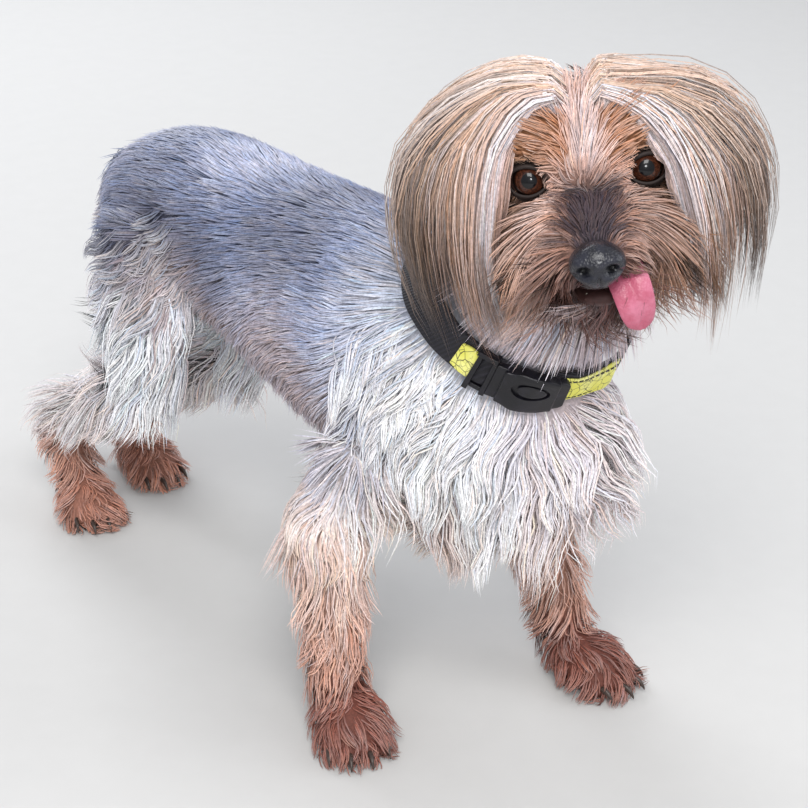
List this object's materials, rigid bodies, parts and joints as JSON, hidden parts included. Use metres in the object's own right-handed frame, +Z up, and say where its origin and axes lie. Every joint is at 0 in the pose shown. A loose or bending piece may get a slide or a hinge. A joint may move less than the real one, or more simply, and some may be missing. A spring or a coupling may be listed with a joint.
{
  "type": "yorkshire terrier",
  "caption": "Life-size Yorkshire terrier standing with its head turned and its tongue out, wearing a collar with a side-release buckle.",
  "frame": {"origin": "on the floor, under the middle of the whole dog's box", "axes": "+Z up, the dog faces -Y and its left is +X; its head is turned about 41 degrees to its right"},
  "size_m": [0.1616, 0.4256, 0.3116],
  "materials": {
    "coat_steel": "short steel-blue grey coat with silver lights",
    "coat_silver": "long silver to cream coat",
    "coat_cream": "long cream to tan coat",
    "coat_tan": "copper-tan coat of the feet",
    "coat_gold": "silver-blond and tan coat of the head",
    "coat_dark": "dark brown backs of the ears under blond hair",
    "nose_leather": "black, moist and finely pebbled",
    "eye": "dark brown, wet and clear",
    "tongue": "pink and moist",
    "webbing": "black woven webbing",
    "yellow_webbing": "yellow webbing with dark crackle lines",
    "black_plastic": "black moulded plastic, slightly worn"
  },
  "bodies": {
    "root": {"torso_chest": "coat_silver", "torso_loin": "coat_steel", "neck": "coat_silver", "tail": "coat_steel", "head": "coat_gold", "jaw": "coat_cream", "ear_left": "coat_dark", "ear_right": "coat_dark", "nose": "nose_leather", "eye_left": "eye", "eye_right": "eye", "tongue": "tongue", "collar_strap": "webbing", "collar_slide": "black_plastic", "collar_buckle": "black_plastic", "collar_patch": "yellow_webbing", "foreleg_left": "coat_cream", "forepaw_left": "coat_tan", "thigh_left": "coat_cream", "shank_left": "coat_cream", "hock_left": "coat_cream", "hindpaw_left": "coat_tan", "foreleg_right": "coat_cream", "forepaw_right": "coat_tan", "thigh_right": "coat_cream", "shank_right": "coat_cream", "hock_right": "coat_cream", "hindpaw_right": "coat_tan"}
  },
  "joints": []
}
